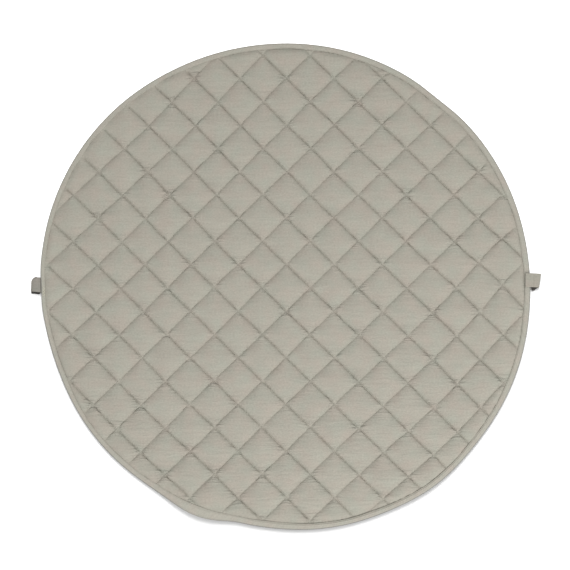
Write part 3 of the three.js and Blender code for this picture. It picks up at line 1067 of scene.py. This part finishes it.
def tape_loop(name, loop):
    """One loop as a closed piece, and the length of its tape. The ring's under half, the inner side of
    the fold, is marked for painted shade."""
    line = smooth_line(loop["line"], TAPE_STATIONS)
    line[:, 1] = np.maximum(line[:, 1], TAPE_ON_FLOOR)
    points = tape_surface(loop, line).reshape(-1, 3)
    ring_across = tape_ring()[0]
    round_count = len(ring_across)
    quads, row, column = closed_grid(TAPE_STATIONS, round_count, False)
    if loop["side"] < 0:
        quads, row, column = quads[:, ::-1], row[:, ::-1], column[:, ::-1]
    run = np.concatenate([[0], np.cumsum(np.linalg.norm(np.diff(line, axis=0), axis=1))]) * MM
    wrapped = np.append(ring_across, ring_across[0]) * MM
    uv = np.stack([run[row], wrapped[column]], -1)
    near_caps, near_tips = tape_end(0, round_count, loop["side"] > 0)
    far_caps, far_tips = tape_end((TAPE_STATIONS - 1) * round_count, round_count, loop["side"] < 0)
    caps, tips = np.concatenate([near_caps, far_caps]), np.concatenate([near_tips, far_tips])
    piece = make_piece(
        name + "_tape", points, [np.concatenate([quads, caps]), tips],
        [np.concatenate([uv, points[caps][..., :2]]), points[tips][..., :2]],
    )
    # the inner side of the fold gets painted shade
    set_share(piece, "painted_inner_shade", np.tile(np.arange(round_count) >= TAPE_ACROSS, TAPE_STATIONS))
    print(name, "is made of", round(run[-1] / MM, 1), "mm of tape")
    return piece, run[-1]


loops = {name: tape_loop(name, loop) for name, loop in LOOPS.items()}

# %% [markdown]
# ## Thread
# A lockstitch shows as a row of short threads, each one dipping into the cloth at both ends, and it
# looks the same on the back. The quilting alone has thousands of them, so each is a spindle of 24
# triangles, and all stitches of one kind are one mesh. A bump in the material would be cheaper,
# but it wouldn't stand on the cloth in a low view.

# %% Stitches
STITCH_RINGS = np.array([-0.32, 0.0, 0.32])
STITCH_SIDES = 4


def stitch_mesh(name, middle, along, length, radius, sink):
    """Spindles with a ring of points at each of three shares s of their length and a tip at both ends.
    A ring's middle drops by sink·(2s)², and its radius is radius·(1 - (2s)²)^½."""
    count = len(middle)
    level = np.array([0.0, 0.0, 1.0])
    along = along / np.linalg.norm(along, axis=1, keepdims=True)
    aside = np.cross(level, along)
    aside /= np.linalg.norm(aside, axis=1, keepdims=True)
    shares = np.concatenate([[-0.5], STITCH_RINGS, [0.5]])
    core = middle[:, None] + along[:, None] * (shares * length)[None, :, None]
    core = core - level * (sink * (2 * shares) ** 2)[None, :, None]
    turn = ((np.arange(STITCH_SIDES) + 0.5) * 2 * np.pi / STITCH_SIDES)[None, None, :, None]
    girth = radius * np.sqrt(1 - (2 * STITCH_RINGS) ** 2)
    spread = aside[:, None, None] * np.cos(turn) + level * np.sin(turn)
    rings = core[:, 1:-1, None] + spread * girth[None, :, None, None]
    points = np.concatenate([core[:, :1], rings.reshape(count, -1, 3), core[:, -1:]], axis=1)
    ring = np.arange(STITCH_SIDES)
    following = (ring + 1) % STITCH_SIDES
    walls = [
        np.stack([1 + k * STITCH_SIDES + ring, 1 + (k + 1) * STITCH_SIDES + ring,
                  1 + (k + 1) * STITCH_SIDES + following, 1 + k * STITCH_SIDES + following], -1)
        for k in range(len(STITCH_RINGS) - 1)
    ]
    last = 1 + (len(STITCH_RINGS) - 1) * STITCH_SIDES
    tip = last + STITCH_SIDES
    near_tip = np.stack([0 * ring, 1 + ring, 1 + following], -1)
    far_tip = np.stack([tip + 0 * ring, last + following, last + ring], -1)
    offset = (np.arange(count) * points.shape[1])[:, None, None]
    quads = (np.concatenate(walls)[None] + offset).reshape(-1, 4)
    tips = (np.concatenate([near_tip, far_tip])[None] + offset).reshape(-1, 3)
    flat_points = points.reshape(-1, 3)
    points_each = [1] + [STITCH_SIDES] * len(STITCH_RINGS) + [1]
    place = np.tile(np.repeat(shares + 0.5, points_each), count) * length
    uv = np.stack([place, flat_points[:, 0]], -1)
    return make_piece(name, flat_points, [quads, tips], [uv[quads], uv[tips]])


print("a stitch has", 2 + STITCH_SIDES * len(STITCH_RINGS), "points")


# %% Quilting thread
QUILT_STITCH = {
    "pitch": 3.5 * MM, "length": 3.0 * MM, "radius": 0.24 * MM, "sink": 0.45 * MM, "above": 0.14 * MM,
    "face_from": 2 * MM, "back_from": 8 * MM,  # how far inside the binding the rows begin
}


def stitches_along_seams():
    """Coordinates a and b of the middle of every stitch, and of a place just beyond it on its seam."""
    line = np.arange(DIAMONDS_ACROSS) - DIAMONDS_ACROSS // 2 + 0.5
    pitch = QUILT_STITCH["pitch"] / LINE_SPACING
    along = np.arange(-DIAMONDS_ACROSS / 2, DIAMONDS_ACROSS / 2, pitch)
    fixed, free = (grid.ravel() for grid in np.meshgrid(line, along, indexing="ij"))
    a, b = np.concatenate([fixed, free]), np.concatenate([free, fixed])
    step = 0.01 * np.repeat([0, 1], len(fixed))
    return a, b, a + step, b + step[::-1]


def quilting_stitches(on_back):
    """Middles and directions of the stitches that the binding leaves free, on the face or the back."""
    a, b, next_a, next_b = stitches_along_seams()
    x, y = quilt_place(a, b)
    next_x, next_y = quilt_place(next_a, next_b)
    free = past_binding(x, y)
    if on_back:
        seen = free > QUILT_STITCH["back_from"]
        z = back_height(a, b, x, y) - QUILT_STITCH["above"]
    else:
        seen = free > QUILT_STITCH["face_from"]
        sewn = RIM_HEIGHT + (SEWN_HEIGHT - groove_at(a, b) - RIM_HEIGHT) * risen_share(free)
        z = sewn + lift_at(x, y) + QUILT_STITCH["above"]
    return np.stack([x, y, z], -1)[seen], np.stack([next_x - x, next_y - y, 0 * x], -1)[seen]


quilt_threads = [
    stitch_mesh(
        name, *quilting_stitches(on_back), QUILT_STITCH["length"], QUILT_STITCH["radius"],
        -QUILT_STITCH["sink"] if on_back else QUILT_STITCH["sink"],
    )
    for name, on_back in (("thread_quilting", False), ("thread_quilting_back", True))
]

# %% [markdown]
# ### Binding thread and bar tack
# One row of stitches holds the binding's upper leaf all round, apart from the right loop, whose
# tape lies over it. The left loop's root is held by a bar tack, which is thread laid in and out
# over the same place. The photograph shows it as a few paler and darker spots, so it gets a few
# thick stitches that lean to and fro, in a tone of their own.

# %% Binding thread and bar tack
EDGE_STITCH = {
    "pitch": 3.1 * MM, "length": 2.5 * MM, "radius": 0.22 * MM, "sink": 0.3 * MM,
    "above": 0.1, "clear_of_loop": 0.5,  # in mm
}
TACK_STITCH = {
    "length": 5.5 * MM, "radius": 0.55 * MM, "sink": 0.3 * MM, "rows": 6, "lean": 0.5,
    "from_y": -18.5, "to_y": -4.0, "inset": 8.0, "above": 0.2,  # in mm
}


def binding_stitches():
    """Middles and directions of the stitches that hold the binding's upper leaf."""
    count = int(2 * np.pi * (MAT_RADIUS - BINDING_WIDTH) / EDGE_STITCH["pitch"])
    deg = np.arange(count) * 360.0 / count
    height = leaf_height(EDGE_STITCH_INSET) + shallower(deg) + EDGE_STITCH["above"]
    middle = on_rim(deg, EDGE_STITCH_INSET * MM, height * MM + BINDING_HALF_THICK)
    from_loop = np.abs(middle[:, 1] - LOOPS["loop_right"]["y"] * MM)
    under_loop = from_loop < (TAPE_WIDTH / 2 + EDGE_STITCH["clear_of_loop"]) * MM
    keep = ~((middle[:, 0] > 0) & under_loop)
    way = np.stack([-np.sin(np.radians(deg)), np.cos(np.radians(deg)), 0 * deg], -1)
    return middle[keep], way[keep]


def tack_stitches():
    """Middles and directions of the bar tack's stitches, in a column over the left loop's root."""
    y = np.linspace(TACK_STITCH["from_y"], TACK_STITCH["to_y"], TACK_STITCH["rows"]) * MM
    deg = 180.0 - np.degrees(np.arcsin(y / MAT_RADIUS))
    height = (leaf_height(TACK_STITCH["inset"]) + TACK_STITCH["above"]) * MM + BINDING_HALF_THICK
    middle = on_rim(deg, TACK_STITCH["inset"] * MM, height)
    lean = TACK_STITCH["lean"] * (-1.0) ** np.arange(len(y))
    return middle, np.stack([1 + 0 * y, lean, 0 * y], -1)


edge_thread, tack_thread = (
    stitch_mesh(name, *stitches, kind["length"], kind["radius"], kind["sink"])
    for name, stitches, kind in (
        ("thread_binding", binding_stitches(), EDGE_STITCH),
        ("thread_tack", tack_stitches(), TACK_STITCH),
    )
)

# %% [markdown]
# ## Puckers in the finish
# Beside every seam the real cloth is drawn into small gathers, and level wrinkles run over the
# diamonds, more of them low on the mat. A finer grid could carry them, but it would need millions
# of points. So they are worked out in the material and drive a bump. Their place between the seams
# comes from the panel's second UV map, in which the seams are at halves.

# %% Puckers in the finish
# A "reach" is a share of the way from one seam to the next.
GATHER = {"reach": 0.16, "pitch": 8.0 * MM, "length": 26.0 * MM, "height": 3.0 * MM}
LEVEL_WRINKLES = {
    "pitch": 8.5 * MM, "length": 50.0 * MM, "height": 13.0 * MM,
    "reach": 0.4, "corner_from": 0.9,  # a corner is where both seams are near enough
    "off_seam": 140.0,  # how fast they grow with the product of both distances
    "patches_per_m": 9.0, "patch_from": 0.3, "patch_gain": 5.0,
    "everywhere": 0.30, "usual": 0.5, "more_low": 2.5, "low": 0.05,  # more where y is below "low"
}


def noise_at(tree, place, scale, detail, stretch=(1.0, 1.0, 1.0)):
    """Smooth noise from 0 to 1 at a place, with so many blobs to the metre."""
    scaled = Wire.of(
        tree, "ShaderNodeVectorMath", {"operation": "MULTIPLY"}, {0: place, 1: stretch}
    )
    return Wire.of(
        tree, "ShaderNodeTexNoise", None, {"Vector": scaled, "Scale": scale, "Detail": detail}
    )


def level_wrinkles(tree, cloth, slack, off_seam):
    """Height of the level wrinkles: |noise - ½|, with a noise that is long across the mat and short
    up it, times how much there is of them. That is patchy: most where both seams are near, and some
    everywhere, more of it low on the mat. At the seams themselves they fade out."""
    stretch = (1 / LEVEL_WRINKLES["length"], 1 / LEVEL_WRINKLES["pitch"], 1.0)
    wrinkles = (noise_at(tree, cloth, 1.0, 1.5, stretch) - 0.5).size()
    patchy = noise_at(tree, cloth, LEVEL_WRINKLES["patches_per_m"], 1.0)
    patches = ((patchy - LEVEL_WRINKLES["patch_from"]) * LEVEL_WRINKLES["patch_gain"]).at_least(0.0)
    corner = (slack - LEVEL_WRINKLES["corner_from"]).at_least(0.0) * patches
    low = (LEVEL_WRINKLES["low"] - cloth.parts()[1]).at_least(0.0)
    amount = LEVEL_WRINKLES["usual"] + LEVEL_WRINKLES["more_low"] * low
    spread = patchy * amount * LEVEL_WRINKLES["everywhere"]
    return wrinkles * (corner + spread) * off_seam.at_most(1.0) * LEVEL_WRINKLES["height"]


def seam_puckers(tree, cloth):
    """Height of the small gathers beside the seams, and the level wrinkles. Along each seam runs a
    noise that is short along it and long across it, times (1 - distance / reach)²."""
    place = Wire.of(tree, "ShaderNodeUVMap", {"uv_map": "quilting"})
    a, b, _ = place.parts()
    short, long = LINE_SPACING / GATHER["pitch"], LINE_SPACING / GATHER["length"]
    gathers, slack, off_seam = 0.0, 0.0, LEVEL_WRINKLES["off_seam"]
    for across, stretch in ((a, (long, short, 1.0)), (b, (short, long, 1.0))):
        away = (across - across.floor() - 0.5).size()
        share = (1 - away * (1 / GATHER["reach"])).at_least(0.0)
        slack = slack + (1 - away * (1 / LEVEL_WRINKLES["reach"])).at_least(0.0)
        off_seam = away * off_seam
        gathers = gathers + (noise_at(tree, place, 1.0, 1.0, stretch) - 0.5) * share * share
    return gathers * GATHER["height"] + level_wrinkles(tree, cloth, slack, off_seam)


print("gathers every", GATHER["pitch"] / MM, "mm, wrinkles every", LEVEL_WRINKLES["pitch"] / MM, "mm")

# %% [markdown]
# ## Cloth
# The cloth is a matt plain weave in a grey sage beige. Its threads are far finer than a dot of the
# photograph, but they show close up. A photo of cloth could be tiled over it, but a weave worked
# out from the cloth's own coordinates never repeats and stays sharp: a checker of warp and weft,
# each thread round across its width. Thicker threads run level through the cloth, its grain and
# flecks differ from spot to spot, and the dye takes a little unevenly, warmer here and cooler there.

# %% Cloth
CLOTH_ROUGHNESS = 0.92
CLOTH_SPECULAR = 0.25
CLOTH_SHEEN = 0.08
CLOTH_SHEEN_ROUGHNESS = 0.5
SHADES = {"slub": 0.20, "dye": 0.11, "fleck": 0.05, "weave": 0.06, "grain": 0.42}
SLUBS = (18.0, 240.0, 1.0)  # to the metre, along and across the threads
GRAIN = (260.0, 420.0, 1.0)
FLECKS_PER_M = 700.0
DYE_PER_M = 26.0
WARMTH_PER_M = 34.0
WARMTH_CONTRAST = 2.2
WARM = (1.035, 0.985, 0.98)
COOL = (0.975, 1.012, 1.0)
WEAVE_MIDDLE = 0.6
SLUB_HEIGHT = 0.25 * MM
FLECK_HEIGHT = 0.06 * MM
BUMP_STRENGTH = 0.8


def weave_height(turned, pitch):
    """Height of a plain weave from 0 to 1: |sin(πu)| where the warp is on top and |sin(πv)| where the
    weft is, and sin(πu)·sin(πv) > 0 says which."""
    warp, weft = ((place * (math.pi / pitch)).sin() for place in turned.parts()[:2])
    over = warp * weft > 0.0
    return over * warp.size() + (1 - over) * weft.size()


def mixed(tree, share, first, second):
    """A colour that goes from the first to the second as the share goes from 0 to 1."""
    return Wire.of(
        tree, "ShaderNodeMix", {"data_type": "RGBA"}, {0: share, 6: first, 7: second}, 2
    )


def cotton(name, tone, pitch, turn_deg=0.0, relief=0.05 * MM, quilted=False, painted_shade=None):
    """Plain-weave cotton of a tone, with a thread pitch in metres, turned on the piece. The shade is
    1 plus a share of each unevenness. The last argument gives painted shade: the name of a piece's
    attribute and the darker tone that the cloth takes on where that is 1."""
    finish = bpy.data.materials.new(name)
    finish.use_nodes = True
    tree = finish.node_tree
    shader = tree.nodes["Principled BSDF"]
    shader.inputs["Roughness"].default_value = CLOTH_ROUGHNESS
    shader.inputs["Specular IOR Level"].default_value = CLOTH_SPECULAR
    shader.inputs["Sheen Weight"].default_value = CLOTH_SHEEN
    shader.inputs["Sheen Roughness"].default_value = CLOTH_SHEEN_ROUGHNESS
    place = Wire.of(tree, "ShaderNodeUVMap", {"uv_map": "cloth"})
    turn = (0, 0, math.radians(turn_deg))
    turned = Wire.of(tree, "ShaderNodeMapping", None, {"Vector": place, "Rotation": turn})
    weave = weave_height(turned, pitch)
    slub = noise_at(tree, turned, 1.0, 2.0, SLUBS) - 0.5
    fleck = noise_at(tree, turned, FLECKS_PER_M, 3.0) - 0.5
    uneven = {
        "slub": slub,
        "dye": noise_at(tree, turned, DYE_PER_M, 2.0) - 0.5,
        "fleck": fleck,
        "weave": weave - WEAVE_MIDDLE,
        "grain": noise_at(tree, turned, 1.0, 2.0, GRAIN) - 0.5,
    }
    shade = 1.0
    for kind, share in SHADES.items():
        shade = shade + share * uneven[kind]
    warmth = (noise_at(tree, turned, WARMTH_PER_M, 1.0) - 0.5) * WARMTH_CONTRAST + 0.5
    cool, warm = ((*np.multiply(tone, gain).tolist(), 1.0) for gain in (COOL, WARM))
    hue = mixed(tree, warmth, cool, warm)
    colour = Wire.of(tree, "ShaderNodeVectorMath", {"operation": "SCALE"}, {0: hue, "Scale": shade})
    if painted_shade:
        # painted shade: a darker tone mixed into the colour where the piece's attribute is 1
        attribute, shade_tone = painted_shade
        share = Wire.of(tree, "ShaderNodeAttribute", {"attribute_name": attribute}, None, "Fac")
        colour = mixed(tree, share, colour, shade_tone)
    colour.feed(shader, "Base Color")
    height = weave * relief + slub * SLUB_HEIGHT + fleck * FLECK_HEIGHT
    if quilted:
        height = height + seam_puckers(tree, place)
    bump = Wire.of(
        tree, "ShaderNodeBump", None, {"Strength": BUMP_STRENGTH, "Distance": 1.0, "Height": height}
    )
    bump.feed(shader, "Normal")
    return finish


print("each cloth has", len(SHADES), "kinds of unevenness")

# %% [markdown]
# ### Finishes of this mat
# Panel and binding are of one cloth, but the binding is cut on the bias, so its weave is turned by
# 45 degrees, and it looks a touch paler. Its fold gets painted shade, a darker tone mixed into its
# colour. The tapes are coarser and darker. Hardly any light gets in between their leaves, so their
# inner side gets painted shade, a near-black tone, and the left tape's darker tone is painted shade
# too. One function makes them all, so that they stay alike, and only tones, pitches and reliefs
# differ.

# %% Finishes of this mat
CLOTH_PITCH = 0.45 * MM
TAPE_PITCH = 0.6 * MM
THREAD_PITCH = 0.25 * MM
TAPE_RELIEF = 0.10 * MM
THREAD_RELIEF = 0.02 * MM
CLOTH_TONE = (0.352, 0.335, 0.2865)
BINDING_TONE = (0.372, 0.357, 0.308)
# tone of the painted shade along the binding's fold
FOLD_SHADE_TONE = (0.21, 0.205, 0.19, 1.0)
# the left tape's tone is painted shade: a darker, shaded copy of the right tape's cloth
TAPE_TONES_LEFT_SHADED = {"left": (0.275, 0.261, 0.232), "right": (0.335, 0.318, 0.272)}
# near-black painted shade on the inner side of each tape's fold
TAPE_INSIDE_SHADE_TONE = (0.05, 0.047, 0.042, 1.0)
THREAD_TONE = (0.345, 0.327, 0.28)
TACK_TONE = (0.62, 0.60, 0.48)

panel_finish = cotton("cotton_plain", CLOTH_TONE, CLOTH_PITCH, quilted=True)
# the binding's fold gets painted shade, a darker tone mixed in where its attribute says so
binding_finish = cotton(
    "cotton_bias", BINDING_TONE, CLOTH_PITCH, turn_deg=45.0, painted_shade=("painted_fold_shade", FOLD_SHADE_TONE)
)
thread_finish = cotton("cotton_thread", THREAD_TONE, THREAD_PITCH, relief=THREAD_RELIEF)
tack_finish = cotton("cotton_tack", TACK_TONE, THREAD_PITCH, relief=THREAD_RELIEF)
# both tapes get painted shade, a near-black tone, on the inner side of their fold
shaded_left_tape_finish, right_tape_finish = (
    cotton(
        "tape_woven_" + side, tone, TAPE_PITCH,
        relief=TAPE_RELIEF, painted_shade=("painted_inner_shade", TAPE_INSIDE_SHADE_TONE),
    )
    for side, tone in TAPE_TONES_LEFT_SHADED.items()
)
print("the tapes are finished in", shaded_left_tape_finish.name, "and", right_tape_finish.name)

# %% [markdown]
# ## Put together
# Every piece rides on the one body of the mat, stands for the CAD piece that it details, which is
# hidden, and wears its own finish. The table also names the record's finish slot of each piece.

# %% Put together
for piece, nodes, slot, finish in (
    (panel, ["quilted_panel"], "quilted_cotton", panel_finish),
    (quilt_threads[0], ["quilted_panel"], "quilted_cotton", thread_finish),
    (quilt_threads[1], ["quilted_panel"], "quilted_cotton", thread_finish),
    (binding, ["edge_binding"], "binding_cotton", binding_finish),
    (edge_thread, ["edge_binding"], "binding_cotton", thread_finish),
    (tack_thread, ["edge_binding"], "binding_cotton", tack_finish),
    (loops["loop_left"][0], ["loop_left"], "loop_tape", shaded_left_tape_finish),
    (loops["loop_right"][0], ["loop_right"], "loop_tape", right_tape_finish),
):
    piece.data.materials.append(finish)
    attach(piece, "root")
    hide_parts(*nodes)
